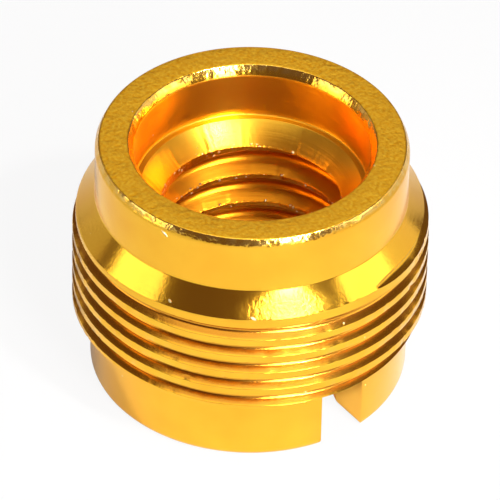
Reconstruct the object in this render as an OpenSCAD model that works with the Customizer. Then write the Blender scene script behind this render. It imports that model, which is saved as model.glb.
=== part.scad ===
// Thread adapter for microphone stands: a one-piece turned sleeve with a
// 5/8"-27 thread outside and a 3/8"-16 thread inside, a counterbored collar
// at the top and a skirt at the bottom with a slot across it for a driver.
// Millimetres. The axis is Z, and the part stands on the skirt at Z = 0.
// Both threads have their true pitch and flank angle, and are cut as rings.

/* [Body] */
// Overall height
height = 12.15; // [9.5:0.05:20]
// Height of the plain collar above the cone
collar_h = 2.75; // [1.5:0.01:3.5]
// Height of the plain skirt below the outside thread
skirt_h = 3.57; // [2.5:0.01:4.5]
// How far the collar stands inside the thread crests
collar_step = 0.98; // [0.7:0.01:1.5]
// How far the skirt stands inside the thread crest
skirt_step = 0.82; // [0.7:0.01:1.5]

/* [Cone] */
// Height of the cone between the collar and the first crest
cone_h = 1.05; // [0.6:0.05:1.5]
// How far the reduced first crest stands inside the other crests
lead_step = 0.22; // [0.1:0.01:0.3]

/* [Outside thread] */
// Diameter over the crests: 5/8 inch less the usual allowance
male_d = 15.8; // [13:0.05:20]
// Threads per inch
male_tpi = 27; // [20:1:32]
// Width of the flat crests
male_land = 0.33; // [0.1:0.01:0.45]
// Plain land between the cone and the first groove
male_lead = 0.34; // [0.2:0.01:1]

/* [Inside thread] */
// Diameter at the bottom of the grooves: 3/8 inch
female_d = 9.525; // [7.5:0.005:11.5]
// Threads per inch
female_tpi = 16; // [14:1:24]
// How far the crests stand in from the bottom of the grooves
female_depth = 0.7625; // [0.4:0.0025:0.8]
// Plain land between the countersink and the first groove
female_lead = 0.2; // [0.1:0.01:0.6]

/* [Counterbore] */
// Depth of the counterbore below the top face
cbore_depth = 2.63; // [1:0.01:4]
// Gap between the counterbore wall and the inside thread's grooves
cbore_gap = 0.4375; // [0.3:0.0025:0.6]
// Width of the flat floor before the countersink begins
cbore_ledge = 0.3; // [0.1:0.01:0.45]

/* [Base] */
// How far the base countersink's mouth stands outside the thread's grooves
base_gap = 0.7375; // [0.3:0.0025:0.9]
// Width of the driver slot
slot_w = 2.2; // [1:0.1:4]
// What is left between the slot's end and the outside thread
slot_roof = 0.33; // [0.2:0.01:1]

/* [Edges] */
// Width of the chamfer on the collar's outer edge, across the top face
rim_chamfer = 0.16; // [0.1:0.01:0.4]
// Height of that chamfer
rim_h = 0.36; // [0.1:0.01:0.6]
// Width of the chamfer on the counterbore's mouth, across the top face
mouth_chamfer = 0.28; // [0.1:0.01:0.4]
// Height of that chamfer
mouth_h = 0.45; // [0.1:0.01:0.8]
// Rounding of the skirt's outer edge
skirt_round = 0.3; // [0.1:0.01:0.5]
// Fillet where the collar runs into the cone
neck_fillet = 0.2; // [0.1:0.01:0.6]

/* [Hidden] */
$fn = 96;
inch = 25.4;
slack = 0.5; // how far each cutter reaches past the surface it cuts

crest_r = male_d / 2;
collar_r = crest_r - collar_step;
skirt_r = crest_r - skirt_step;
neck_z = height - collar_h;
cone_z = neck_z - cone_h;
lead_r = crest_r - lead_step;

root_r = female_d / 2;
minor_r = root_r - female_depth;
cbore_r = root_r + cbore_gap;
sink_r = cbore_r - cbore_ledge;
base_r = root_r + base_gap;
cbore_z = height - cbore_depth;
sink_z = cbore_z - (sink_r - minor_r);

rim_wall = collar_r - cbore_r;
rim_c = min(rim_chamfer, rim_wall / 3);
mouth_c = min(mouth_chamfer, rim_wall / 3);
base_c = min(skirt_round, (skirt_r - base_r) / 2);
slot_h = skirt_h - slot_roof;

// A 60 degree thread: its flank runs tan(30) along the axis for each unit of
// depth, and the bottom of its groove is an eighth of the pitch wide.
flank = tan(30);
male_pitch = inch / male_tpi;
male_mouth = male_pitch - male_land;
male_depth = (male_mouth - male_pitch / 8) / 2 / flank;
first_z = cone_z - male_lead - male_mouth / 2; // middle of the first groove
male_count = ceil((cone_z - male_lead - skirt_h) / male_pitch);
female_pitch = inch / female_tpi;
female_mouth = female_pitch / 8 + 2 * female_depth * flank;
female_count = ceil((sink_z - female_lead - (base_r - minor_r)) / female_pitch);

// A V groove's section. It opens towards side (1 is away from the axis) from a
// flat bottom at radius r, and its middle is at height z.
module groove(r, z, pitch, depth, side) {
    reach = depth + slack;
    half = pitch / 16;
    wide = half + reach * flank;
    polygon([[r, z - half], [r, z + half], [r + side * reach, z + wide], [r + side * reach, z - wide]]);
}

// Points of an arc around c, from angle a0 to a1
function arc(c, r, a0, a1, steps) =
    [for (i = [0 : steps]) let (a = a0 + (a1 - a0) * i / steps) c + r * [cos(a), sin(a)]];

// Section of the turned blank, from the axis out, before anything is cut in it
module blank_section() {
    slope = atan((lead_r - collar_r) / cone_h);
    neck_c = [collar_r + neck_fillet, neck_z + neck_fillet * tan(slope / 2)];
    polygon(concat(
        [[0, 0], [skirt_r, 0], [skirt_r, skirt_h], [crest_r, skirt_h]],
        [[crest_r, first_z], [lead_r, first_z], [lead_r, cone_z]],
        arc(neck_c, neck_fillet, 180 + slope, 180, 6),
        [[collar_r, height - rim_h], [collar_r - rim_c, height], [0, height]]
    ));
}

// What is cut off the skirt's outer edge to leave it round
module skirt_edge_section() {
    difference() {
        translate([skirt_r - base_c, -slack]) square([base_c + slack, base_c + slack]);
        translate([skirt_r - base_c, base_c]) circle(base_c);
    }
}

// The bore: counterbore, countersink, plain hole and base countersink
module bore_section() {
    polygon([
        [0, -slack], [base_r + slack, -slack], [base_r, 0], [minor_r, base_r - minor_r], [minor_r, sink_z],
        [sink_r, cbore_z], [cbore_r, cbore_z], [cbore_r, height - mouth_h],
        [cbore_r + mouth_c, height], [cbore_r + mouth_c, height + slack], [0, height + slack]
    ]);
}

// Grooves of the outside thread, counted down from the cone
module male_thread_section() {
    for (k = [0 : male_count - 1])
        groove(crest_r - male_depth, first_z - k * male_pitch, male_pitch, male_depth, 1);
}

// Grooves of the inside thread, counted down from the countersink. The last one
// runs out into the base countersink.
module female_thread_section() {
    first = sink_z - female_lead - female_mouth / 2;
    for (k = [0 : female_count - 1])
        groove(root_r, first - k * female_pitch, female_pitch, female_depth, -1);
}

// Slot across the skirt, along Y
module driver_slot() {
    translate([-slot_w / 2, -crest_r, -slack])
        cube([slot_w, 2 * crest_r, slot_h + slack]);
}

// The whole adapter, turned from one bar
module adapter_body() {
    color("goldenrod")
    difference() {
        rotate_extrude()
            difference() {
                blank_section();
                skirt_edge_section();
                male_thread_section();
                bore_section();
                female_thread_section();
            }
        driver_slot();
    }
}

adapter_body();
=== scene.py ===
import math

import bpy
from mathutils import Matrix, Vector, noise


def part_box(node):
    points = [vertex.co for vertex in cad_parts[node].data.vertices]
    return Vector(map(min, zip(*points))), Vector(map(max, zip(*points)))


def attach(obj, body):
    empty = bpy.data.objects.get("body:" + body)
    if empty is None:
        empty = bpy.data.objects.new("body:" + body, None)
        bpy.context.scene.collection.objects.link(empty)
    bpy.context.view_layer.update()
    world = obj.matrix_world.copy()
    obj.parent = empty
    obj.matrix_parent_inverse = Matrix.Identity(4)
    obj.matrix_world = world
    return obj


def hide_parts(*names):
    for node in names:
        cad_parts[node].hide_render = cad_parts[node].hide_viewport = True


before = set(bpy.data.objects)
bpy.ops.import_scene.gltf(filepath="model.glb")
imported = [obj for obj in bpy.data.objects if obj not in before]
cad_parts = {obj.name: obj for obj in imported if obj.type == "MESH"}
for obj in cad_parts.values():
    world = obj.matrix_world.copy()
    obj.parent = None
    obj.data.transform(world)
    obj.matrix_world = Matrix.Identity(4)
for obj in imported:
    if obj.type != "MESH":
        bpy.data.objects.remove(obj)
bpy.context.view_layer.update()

bpy.ops.object.select_all(action="DESELECT")

# --- Adapter: turned blank ----------------------------------------------------
# The adapter is one piece of aluminium, turned from bar on a lathe: a plain
# skirt, a wide band for the outside thread, a cone, a plain collar, and a bore
# with a counterbore. It is drawn in millimetres and brought to metres at the end.
MM = 0.001
low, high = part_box("adapter_body")
HEIGHT = high.z / MM
CREST_R = high.x / MM
LEAD_R = CREST_R - 0.22  # the first crest, below the cone
COLLAR_R = CREST_R - 0.98
SKIRT_R = CREST_R - 0.82
SKIRT_H = 3.57
NECK_Z = HEIGHT - 2.75  # between the collar and the cone
CONE_Z = NECK_Z - 1.05  # between the cone and the first crest
MALE_PITCH = 25.4 / 27
MALE_WIDE = MALE_PITCH - 0.33  # a groove's mouth, with crests 0.33 wide between
FIRST_Z = CONE_Z - 0.34 - MALE_WIDE / 2  # middle of the first groove, at the front
BORE_ROOT_R = 9.525 / 2
BORE_CREST_R = BORE_ROOT_R - 0.7625
CBORE_R = BORE_ROOT_R + 0.4375
CBORE_Z = HEIGHT - 2.63
SINK_R = CBORE_R - 0.3  # mouth of the countersink in the counterbore's floor
SINK_Z = CBORE_Z - (SINK_R - BORE_CREST_R)
BASE_R = BORE_ROOT_R + 0.7375  # mouth of the countersink in the base
BASE_Z = BASE_R - BORE_CREST_R
RIM_W = 0.16  # the chamfer on the collar's outer edge
RIM_H = 0.36
MOUTH_W = 0.28  # the chamfer on the counterbore's mouth
MOUTH_H = 0.45
SIDES = 360
FACING = math.radians(-127)  # the direction of the piece's front, from +X


def rounded(corners):
    """The closed outline through (radius, height, rounding) corners, as points on short arcs."""
    points = []
    for k, (r, z, rounding) in enumerate(corners):
        here = Vector((r, z))
        before = (Vector(corners[k - 1][:2]) - here).normalized()
        after = (Vector(corners[(k + 1) % len(corners)][:2]) - here).normalized()
        if rounding == 0:
            points.append(here)
            continue
        half = before.angle(after) / 2
        centre = here + (before + after).normalized() * rounding / math.sin(half)
        first = here + before * rounding / math.tan(half) - centre
        last = here + after * rounding / math.tan(half) - centre
        turn = first.angle_signed(last)
        steps = max(2, round(abs(math.degrees(turn)) / 14))  # a point for each 14 degrees
        for i in range(steps + 1):
            points.append(centre + Matrix.Rotation(-turn * i / steps, 2) @ first)
    return points


def draw(name, points, azimuth=0.0):
    """A closed outline through (radius, height) points, in the upright plane at that azimuth."""
    bpy.ops.mesh.primitive_circle_add(vertices=len(points), fill_type="NOTHING", location=(0, 0, 0))
    shape = bpy.context.object
    shape.name = name
    for vertex, (r, z) in zip(shape.data.vertices, points):
        vertex.co = (r * math.cos(azimuth), r * math.sin(azimuth), z)
    return shape


def sweep(shape, angle, rise=0.0, turns=1):
    """Turns an outline round the axis, rising with each turn, and closes it to a solid."""
    screw = shape.modifiers.new("sweep", "SCREW")
    screw.axis = "Z"
    screw.angle = angle
    screw.screw_offset = rise
    screw.iterations = turns
    screw.steps = SIDES
    screw.render_steps = SIDES
    bpy.ops.object.modifier_apply(modifier=screw.name)
    bpy.ops.object.mode_set(mode="EDIT")
    bpy.ops.mesh.select_all(action="SELECT")
    if rise:
        bpy.ops.mesh.select_non_manifold()
        bpy.ops.mesh.fill_holes(sides=0)
        bpy.ops.mesh.select_all(action="SELECT")
    else:
        bpy.ops.mesh.remove_doubles(threshold=0.0005)
    bpy.ops.mesh.normals_make_consistent(inside=False)
    bpy.ops.object.mode_set(mode="OBJECT")


def outward(vertex):
    """The level direction from the axis to a vertex."""
    return Vector((vertex.co.x, vertex.co.y, 0)).normalized()


# The corners of its section, from the base up the outside and down the bore. The
# corners of the two chamfers are worn round.
body = draw("adapter", rounded([
    (BASE_R, 0, 0.04), (SKIRT_R, 0, 0.35), (SKIRT_R, SKIRT_H, 0), (CREST_R, SKIRT_H, 0.03),
    (CREST_R, FIRST_Z - 0.1, 0.05), (LEAD_R + 0.04, FIRST_Z + 0.2, 0.05), (LEAD_R, CONE_Z, 0.06),
    (LEAD_R * 0.9 + COLLAR_R * 0.1, CONE_Z * 0.9 + NECK_Z * 0.1, 0), (COLLAR_R, NECK_Z, 0.2),
    (COLLAR_R, HEIGHT - RIM_H, 0.3), (COLLAR_R - RIM_W, HEIGHT, 0.12),
    (CBORE_R + MOUTH_W, HEIGHT, 0.12), (CBORE_R, HEIGHT - MOUTH_H, 0.3),
    (CBORE_R, CBORE_Z, 0.08), (SINK_R, CBORE_Z, 0.06), (BORE_CREST_R, SINK_Z, 0.08),
    (BORE_CREST_R, BASE_Z, 0.04),
]))
sweep(body, math.tau)

# The cone was turned a little off centre. At the front it leaves the first crest
# low, and from 20 degrees to 65 degrees round it grows out towards the full
# crests, further on the right than on the left.
for vertex in body.data.vertices:
    r = math.hypot(vertex.co.x, vertex.co.y)
    if r > COLLAR_R + 0.1 and FIRST_Z - 0.1 < vertex.co.z < NECK_Z:
        azimuth = math.remainder(math.atan2(vertex.co.y, vertex.co.x) - FACING, math.tau)
        away = min(max((abs(math.degrees(azimuth)) - 20) / 45, 0), 1)
        share = away * away * (3 - 2 * away) * (0.6 + 0.25 * math.sin(azimuth))
        share *= min((r - COLLAR_R) / (LEAD_R - COLLAR_R), 1)
        vertex.co += outward(vertex) * share * max(CREST_R - 0.01 - max(r, LEAD_R), 0)

# --- Adapter: threads ---------------------------------------------------------
# Both threads are single-point cut after turning, so each groove is one V that
# winds round the piece: 27 to the inch outside and 16 to the inch inside. The
# tool is drawn in gradually where a groove begins, and each crest edge is broken.
FLANK = math.tan(math.radians(30))  # a flank's run along the axis for its depth
HAND = -1  # this piece is wound left-handed; 1 gives the usual right-hand threads
FEMALE_PITCH = 25.4 / 16
FEMALE_WIDE = FEMALE_PITCH - 0.22  # a groove's mouth, with crests 0.22 wide between


def groove(name, mouth_r, side, wide, depth, pitch, top, start, turns, root, edge, fade):
    """A V cutter that begins at that height, `start` degrees right of the front, and winds down.

    It opens towards `side` (1 is away from the axis). Its bottom and its mouth are
    rounded by `root` and `edge`, and it is drawn in over the first `fade` degrees.
    """
    mouth = wide / 2
    flat = mouth - depth * FLANK
    lip = mouth + 0.08
    outline = rounded([
        (mouth_r - side * depth, top - flat, root), (mouth_r - side * depth, top + flat, root),
        (mouth_r, top + mouth, edge), (mouth_r + side * 0.01, top + lip, 0),
        (mouth_r + side * 0.1, top + lip, 0), (mouth_r + side * 0.1, top - lip, 0),
        (mouth_r + side * 0.01, top - lip, 0), (mouth_r, top - mouth, edge),
    ])
    cutter = draw(name, outline, FACING - HAND * math.radians(start))
    sweep(cutter, -HAND * math.tau, -pitch, turns)
    for vertex in cutter.data.vertices:
        left = 1 - vertex.index // len(outline) / fade
        if left > 0:
            lift = (depth + 0.15) * left * left * (3 - 2 * left)
            vertex.co += outward(vertex) * side * lift
    return cutter


def cut(piece, cutter):
    """Cuts one solid out of another, and removes the cutter."""
    knife = piece.modifiers.new("cut", "BOOLEAN")
    knife.operation = "DIFFERENCE"
    knife.solver = "MANIFOLD"
    knife.object = cutter
    bpy.ops.object.select_all(action="DESELECT")
    bpy.context.view_layer.objects.active = piece
    bpy.ops.object.modifier_apply(modifier=knife.name)
    bpy.data.objects.remove(cutter)


cut(body, groove(
    "male_groove", mouth_r=CREST_R, side=1, wide=MALE_WIDE, depth=0.36, pitch=MALE_PITCH,
    top=FIRST_Z + MALE_PITCH * (1 - 25 / 360), start=25, turns=6, root=0.165, edge=0.015, fade=32))
cut(body, groove(
    "female_groove", mouth_r=BORE_CREST_R, side=-1, wide=FEMALE_WIDE,
    depth=BORE_ROOT_R - BORE_CREST_R, pitch=FEMALE_PITCH,
    top=SINK_Z - 0.2 - FEMALE_WIDE / 2 + FEMALE_PITCH * (180 - 60) / 360, start=60, turns=7,
    root=0.42, edge=0.06, fade=60))

# --- Adapter: driver slot -----------------------------------------------------
# A slot milled right across the skirt, so that a screwdriver can turn the
# adapter in and out. Its lower edges are broken, as the cutter left a burr there.
SLOT_W = 2.2
SLOT_H = SKIRT_H - 0.33
BREAK_W = 0.14
BREAK_H = 0.2
wall = SLOT_W / 2
mouth = wall + BREAK_W
slot = draw("slot", rounded([
    (mouth, -1, 0), (mouth, 0, 0), (wall, BREAK_H, 0.2), (wall, SLOT_H, 0.08),
    (-wall, SLOT_H, 0.08), (-wall, BREAK_H, 0.2), (-mouth, 0, 0), (-mouth, -1, 0),
]))
bpy.ops.object.mode_set(mode="EDIT")
bpy.ops.mesh.select_all(action="SELECT")
bpy.ops.mesh.edge_face_add()
bpy.ops.transform.translate(value=(0, -1.5 * CREST_R, 0))
bpy.ops.mesh.extrude_region_move(TRANSFORM_OT_translate={"value": (0, 3 * CREST_R, 0)})
bpy.ops.mesh.select_all(action="SELECT")
bpy.ops.mesh.normals_make_consistent(inside=False)
bpy.ops.object.mode_set(mode="OBJECT")
cut(body, slot)

# --- Adapter: dents -----------------------------------------------------------
# Handling left small dents, 0.15 to 0.5 mm across, on the crests of both threads.
# They are the last of the shape, so the piece is then brought to metres, with its
# turned walls smooth and its corners sharp.
for vertex in body.data.vertices:
    r = math.hypot(vertex.co.x, vertex.co.y)
    outside = r > CREST_R - 0.06 or (LEAD_R - 0.01 < r < LEAD_R + 0.05 and vertex.co.z < CONE_Z + 0.1)
    inside = r < BORE_CREST_R + 0.08 and vertex.co.z > 2
    dent = noise.noise(vertex.co * 2) + noise.noise(vertex.co * 7) - 0.3
    if dent > 0 and (outside or inside):
        vertex.co += outward(vertex) * 0.05 * dent * (-1 if outside else 1)

bpy.ops.object.select_all(action="DESELECT")
body.select_set(True)
bpy.context.view_layer.objects.active = body
bpy.ops.object.mode_set(mode="EDIT")
bpy.ops.mesh.select_all(action="SELECT")
bpy.ops.mesh.remove_doubles(threshold=0.0005)
bpy.ops.transform.resize(value=(MM, MM, MM), center_override=(0, 0, 0))
bpy.ops.object.mode_set(mode="OBJECT")
bpy.ops.object.shade_smooth_by_angle(angle=math.radians(25))
normals = body.modifiers.new("normals", "WEIGHTED_NORMAL")
normals.keep_sharp = True
bpy.ops.object.modifier_apply(modifier=normals.name)

# --- Adapter: gold anodising --------------------------------------------------
# The whole piece is bright-dipped and gold anodised: a hard dyed skin over clean
# metal. The turned walls mirror their surroundings in gold, the bore is a little
# duller, with painted shade that makes it darker and more orange, and the etched
# end face has a soft, grainy sheen.


def linear(hex_code):
    """An sRGB hex colour as linear values."""
    parts = [int(hex_code[k:k + 2], 16) / 255 for k in (1, 3, 5)]
    return [c / 12.92 if c <= 0.04045 else ((c + 0.055) / 1.055) ** 2.4 for c in parts] + [1.0]


def add(tree, kind, inputs, out=0, **settings):
    """Adds a node, links its inputs to sockets or sets them to values, and gives one output."""
    node = tree.nodes.new("ShaderNode" + kind)
    for name, value in settings.items():
        setattr(node, name, value)
    for name, value in inputs.items():
        if isinstance(value, bpy.types.NodeSocket):
            tree.links.new(value, node.inputs[name])
        else:
            node.inputs[name].default_value = value
    return node.outputs[out]


gold = bpy.data.materials.new("gold_anodised_aluminium")
gold.use_nodes = True
tree = gold.node_tree
shader = tree.nodes["Principled BSDF"]
shader.inputs["Metallic"].default_value = 1.0

# Where a point lies, in millimetres: along the axis, and out from it. So the
# scale of a pattern is one over its size in millimetres.
coords = add(tree, "TexCoord", {}, out="Object")
place = add(tree, "VectorMath", {0: coords, "Scale": 1 / MM}, operation="SCALE")
axial = add(tree, "SeparateXYZ", {0: place}, out="Z")
level = add(tree, "VectorMath", {0: place, 1: (1, 1, 0)}, operation="MULTIPLY")
radial = add(tree, "VectorMath", {0: level}, out="Value", operation="LENGTH")

# Each part of the surface, as 1 there and 0 elsewhere.
rim = add(tree, "MapRange", {0: axial, 1: HEIGHT - 0.5, 2: HEIGHT - 0.3})
end_face = add(tree, "MapRange", {0: axial, 1: HEIGHT - 0.03, 2: HEIGHT - 0.01})
hollow = add(tree, "MapRange", {0: radial, 1: CBORE_R + 0.05, 2: CBORE_R + 0.02})
under_rim = add(tree, "MapRange", {0: rim, 1: 0.5, 2: 0.4})
bore = add(tree, "Math", {0: hollow, 1: under_rim}, operation="MULTIPLY")
lower_bore = add(tree, "MapRange", {0: axial, 1: CBORE_Z + 0.1, 2: SINK_Z - 0.4})
lower_bore = add(tree, "Math", {0: bore, 1: lower_bore}, operation="MULTIPLY")
flanks = add(tree, "MapRange", {0: radial, 1: CREST_R - 0.03, 2: CREST_R - 0.12})
for value, start, end in ((axial, SKIRT_H, SKIRT_H + 0.05), (axial, FIRST_Z + 0.25, FIRST_Z + 0.2),
                          (radial, SKIRT_R + 0.1, SKIRT_R + 0.2)):
    limit = add(tree, "MapRange", {0: value, 1: start, 2: end})
    flanks = add(tree, "Math", {0: flanks, 1: limit}, operation="MULTIPLY")
bore_crests = add(tree, "MapRange", {0: radial, 1: BORE_CREST_R + 0.12, 2: BORE_CREST_R + 0.04})
below_sink = add(tree, "MapRange", {0: axial, 1: SINK_Z + 0.2, 2: SINK_Z + 0.1})
bore_crests = add(tree, "Math", {0: bore_crests, 1: below_sink}, operation="MULTIPLY")

# The dye took a little unevenly, in clouds about 3 mm across. The etched grain
# of the end face is nearer 0.05 mm, and is drawn at 0.17 mm so that it shows.
cloud = add(tree, "TexNoise", {"Vector": place, "Scale": 0.35, "Detail": 2})
cloud = add(tree, "MapRange", {0: cloud, 1: 0.3, 2: 0.7})
dye = add(tree, "Mix", {0: cloud, 6: linear("#FCC33B"), 7: linear("#F5B534")}, out=2, data_type="RGBA")
grain = add(tree, "TexNoise", {"Vector": place, "Scale": 6, "Detail": 4})
mottle = add(tree, "MapRange", {0: grain, 1: 0.35, 2: 0.65})
matt = add(tree, "Mix", {0: mottle, 6: linear("#F2AE1C"), 7: linear("#FFCC38")}, out=2, data_type="RGBA")
dye = add(tree, "Mix", {0: end_face, 6: dye, 7: matt}, out=2, data_type="RGBA")

# Painted shade: the colour is darker down in the thread grooves, and darker and
# more orange deeper in the bore, where shade falls.
dye = add(tree, "Mix", {0: flanks, 6: dye, 7: linear("#E09A32")}, out=2, data_type="RGBA")
dye = add(tree, "Mix", {0: lower_bore, 6: dye, 7: linear("#D9871A")}, out=2, data_type="RGBA")

# The rim's edges were broken by tumbling, which left facets about 0.4 mm across
# and a thinner, paler skin.
waves = add(tree, "TexNoise", {"Vector": place, "Scale": 2.5, "Detail": 2})
thin = add(tree, "MapRange", {0: waves, 1: 0.4, 2: 0.6, 3: 0.1, 4: 0.5})
for value, start, end in ((axial, HEIGHT - 0.32, HEIGHT - 0.2), (end_face, 1, 0)):
    limit = add(tree, "MapRange", {0: value, 1: start, 2: end})
    thin = add(tree, "Math", {0: thin, 1: limit}, operation="MULTIPLY")
dye = add(tree, "Mix", {0: thin, 6: dye, 7: linear("#FFE08C")}, out=2, data_type="RGBA")

# Pale pinholes 0.1 mm across, in patches, where the skin is chipped through. On
# the burred crests in the bore, pale flecks 0.3 mm apart are painted glints.
pinholes = add(tree, "TexVoronoi", {"Vector": place, "Scale": 1.6}, out="Distance")
pinholes = add(tree, "MapRange", {0: pinholes, 1: 0.09, 2: 0.06})
patches = add(tree, "TexNoise", {"Vector": place, "Scale": 0.8, "Detail": 1})
patches = add(tree, "MapRange", {0: patches, 1: 0.61, 2: 0.65})
chips_and_painted_glints = add(tree, "Math", {0: pinholes, 1: patches}, operation="MULTIPLY")
painted_glints = add(tree, "TexVoronoi", {"Vector": place, "Scale": 3.5}, out="Distance")
painted_glints = add(tree, "MapRange", {0: painted_glints, 1: 0.26, 2: 0.18})
painted_glints = add(tree, "Math", {0: bore_crests, 1: painted_glints}, operation="MULTIPLY")
chips_and_painted_glints = add(tree, "Math", {0: painted_glints, 1: chips_and_painted_glints}, operation="MAXIMUM")


def scar(middle, along, length, width, edge=0.7):
    """One inside a long spot on the skin, fading to zero from that share of its size outwards."""
    turn = Vector(along).to_track_quat("Z", "Y").to_euler()
    local = add(tree, "Mapping", {"Vector": place, "Location": middle, "Rotation": turn,
                                  "Scale": (width, width, length)}, vector_type="TEXTURE")
    far = add(tree, "VectorMath", {0: local}, out="Value", operation="LENGTH")
    return add(tree, "MapRange", {0: far, 1: 1, 2: edge})


# A scratch on the collar, and two nicks near the foot of the cone.
for mark in (scar((-6.48, -2.45, 11.57), (0.13, -0.79, -0.6), 0.28, 0.06),
             scar((-6.78, -3.3, 8.54), (0.3, -0.6, -0.7), 0.14, 0.06),
             scar((-4.43, -6.22, 8.42), (0.7, -0.5, -0.5), 0.2, 0.07)):
    chips_and_painted_glints = add(tree, "Math", {0: chips_and_painted_glints, 1: mark}, operation="MAXIMUM")
# Chipped skin, scratches and nicks are pale, and so are the painted glints on the bore's crests.
dye = add(tree, "Mix", {0: chips_and_painted_glints, 6: dye, 7: linear("#FBE6B4")}, out=2, data_type="RGBA")
tree.links.new(dye, shader.inputs["Base Color"])

# Bright-dipped walls have a roughness of 0.17, and each of these adds to it. The
# bruise is a scuffed patch 5 mm long on the cone's front.
bruise = scar((-3.13, -6.71, 8.7), (0.906, -0.423, 0), 2.6, 0.9, 0.3)
rough = 0.17
for part, more in ((end_face, 0.26), (bore, 0.15), (flanks, 0.04), (bruise, 0.12), (chips_and_painted_glints, 0.2)):
    rough = add(tree, "Math", {0: part, 1: more, 2: rough}, operation="MULTIPLY_ADD")
tree.links.new(rough, shader.inputs["Roughness"])

# Turning marks run round every wall, and show most in the bore. The tool's feed
# is nearer 0.1 mm, and they are drawn at 0.17 mm. Grain stands on the end face,
# the bruise and the burred crests, waves on the rim, and chips on the skin.
rings = add(tree, "CombineXYZ", {0: radial, 2: axial})
marks = add(tree, "TexNoise", {"Vector": rings, "Scale": 6, "Detail": 2})
marked = add(tree, "MapRange", {0: bore, 3: 0.25, 4: 1})
grainy = add(tree, "MapRange", {0: end_face, 3: 0.1, 4: 0.5})
for part in (bruise, bore_crests):
    grainy = add(tree, "Math", {0: grainy, 1: part}, operation="MAXIMUM")
relief = add(tree, "Bump", {"Strength": marked, "Distance": 0.01 * MM, "Height": marks})
for strength, depth, height in ((grainy, 0.04, grain), (rim, 0.05, waves), (1, 0.03, chips_and_painted_glints)):
    relief = add(tree, "Bump", {"Strength": strength, "Distance": depth * MM, "Height": height,
                                "Normal": relief})
tree.links.new(relief, shader.inputs["Normal"])

body.data.materials.clear()
body.data.materials.append(gold)
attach(body, "root")
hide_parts("adapter_body")

# --- Floor and backdrop -------------------------------------------------------
# A sheet of white paper under the piece, in a dark room that the metal mirrors.
# To the camera the sheet is nearly all lit and the room is white, so that the
# backdrop is even, and the sheet keeps the piece's faint shadow.
bpy.ops.mesh.primitive_plane_add(size=3, location=(0, 0, low.z - 0.02 * MM))
floor = bpy.context.object
floor.name = "floor"
paper = bpy.data.materials.new("white_paper")
paper.use_nodes = True
sheet = paper.node_tree.nodes["Principled BSDF"]
sheet.inputs["Base Color"].default_value = linear("#CCCCCC")
sheet.inputs["Roughness"].default_value = 0.9
in_metal = add(paper.node_tree, "LightPath", {}, out="Is Glossy Ray")
in_view = add(paper.node_tree, "LightPath", {}, out="Is Camera Ray")
lit = add(paper.node_tree, "Math", {0: in_metal, 1: 0.2}, operation="MULTIPLY")
lit = add(paper.node_tree, "Math", {0: in_view, 1: 0.9, 2: lit}, operation="MULTIPLY_ADD")
glow = add(paper.node_tree, "Emission", {"Color": (1, 1, 1, 1), "Strength": 1.0})
mixed = add(paper.node_tree, "MixShader", {0: lit, 1: sheet.outputs[0], 2: glow})
paper.node_tree.links.new(mixed, paper.node_tree.nodes["Material Output"].inputs["Surface"])
floor.data.materials.append(paper)

world = bpy.data.worlds.new("studio")
bpy.context.scene.world = world
world.use_nodes = True
in_view = add(world.node_tree, "LightPath", {}, out="Is Camera Ray")
room = add(world.node_tree, "Mix", {0: in_view, 6: (0.135, 0.085, 0.075, 1), 7: (1, 1, 1, 1)}, out=2,
           data_type="RGBA")
world.node_tree.links.new(room, world.node_tree.nodes["Background"].inputs["Color"])

# --- Lights -------------------------------------------------------------------
# Softboxes 300 mm away round a small product table: a bright one and a dim one on
# each side, a narrow bright one right of the front, a wide one overhead and one
# behind. A small lamp also throws a pool of light on the floor right of the front.
REACH = 0.3


def towards(azimuth, elevation):
    """The direction at that azimuth, right from the front, and that elevation."""
    a = FACING + math.radians(azimuth)
    e = math.radians(elevation)
    return Vector((math.cos(a) * math.cos(e), math.sin(a) * math.cos(e), math.sin(e)))


def hang(lamp, away, target):
    """Hangs a lamp in that direction from the target, facing it."""
    holder = bpy.data.objects.new(lamp.name, lamp)
    bpy.context.scene.collection.objects.link(holder)
    holder.location = target + away * REACH
    holder.rotation_euler = away.to_track_quat("Z", "Y").to_euler()


for name, azimuth, elevation, width, height, radiance in (
        ("left_box", -74, 14, 0.18, 0.15, 2), ("left_fill", -115, 12, 0.14, 0.17, 0.38),
        ("right_box", 77, 16, 0.19, 0.14, 2.2), ("right_fill", 111, 12, 0.16, 0.17, 0.8),
        ("key_strip", 26, 28, 0.07, 0.26, 21), ("top_box", 0, 88, 0.32, 0.32, 1.1),
        ("back_box", 180, 42, 0.16, 0.13, 0.75)):
    box = bpy.data.lights.new(name, "AREA")
    box.shape = "RECTANGLE"
    box.size = width
    box.size_y = height
    box.energy = radiance * math.pi * width * height
    hang(box, towards(azimuth, elevation), Vector((0, 0, 6 * MM)))

lamp = bpy.data.lights.new("floor_lamp", "SPOT")
lamp.energy = 13
lamp.spot_size = math.radians(8.5)
lamp.spot_blend = 1
lamp.shadow_soft_size = 0.03
hang(lamp, towards(45, 50.27), towards(40.1, 0) * 16 * MM)

# --- Camera -------------------------------------------------------------------
# A long lens 300 mm from the piece, which looks down on its front at about 40
# degrees and leans a little to the left, so that the piece leans to the right.
camera = bpy.data.cameras.new("camera")
camera.sensor_width = 36
camera.lens = 486.5
camera.clip_start = 0.01
back = towards(0, 39.613)
side = Vector((-math.sin(FACING), math.cos(FACING), 0))
up = back.cross(side)
lean = math.radians(1.339)
x_axis = side * math.cos(lean) + up * math.sin(lean)
y_axis = up * math.cos(lean) - side * math.sin(lean)
aim = Vector((0, 0, 6.224 * MM)) - up * 0.208 * MM - side * 0.003 * MM
holder = bpy.data.objects.new("camera", camera)
bpy.context.scene.collection.objects.link(holder)
bpy.context.scene.camera = holder
turn = Matrix((x_axis, y_axis, back)).transposed().to_4x4()
holder.matrix_world = Matrix.Translation(aim + back * REACH) @ turn

bpy.context.scene.view_settings.view_transform = "Standard"
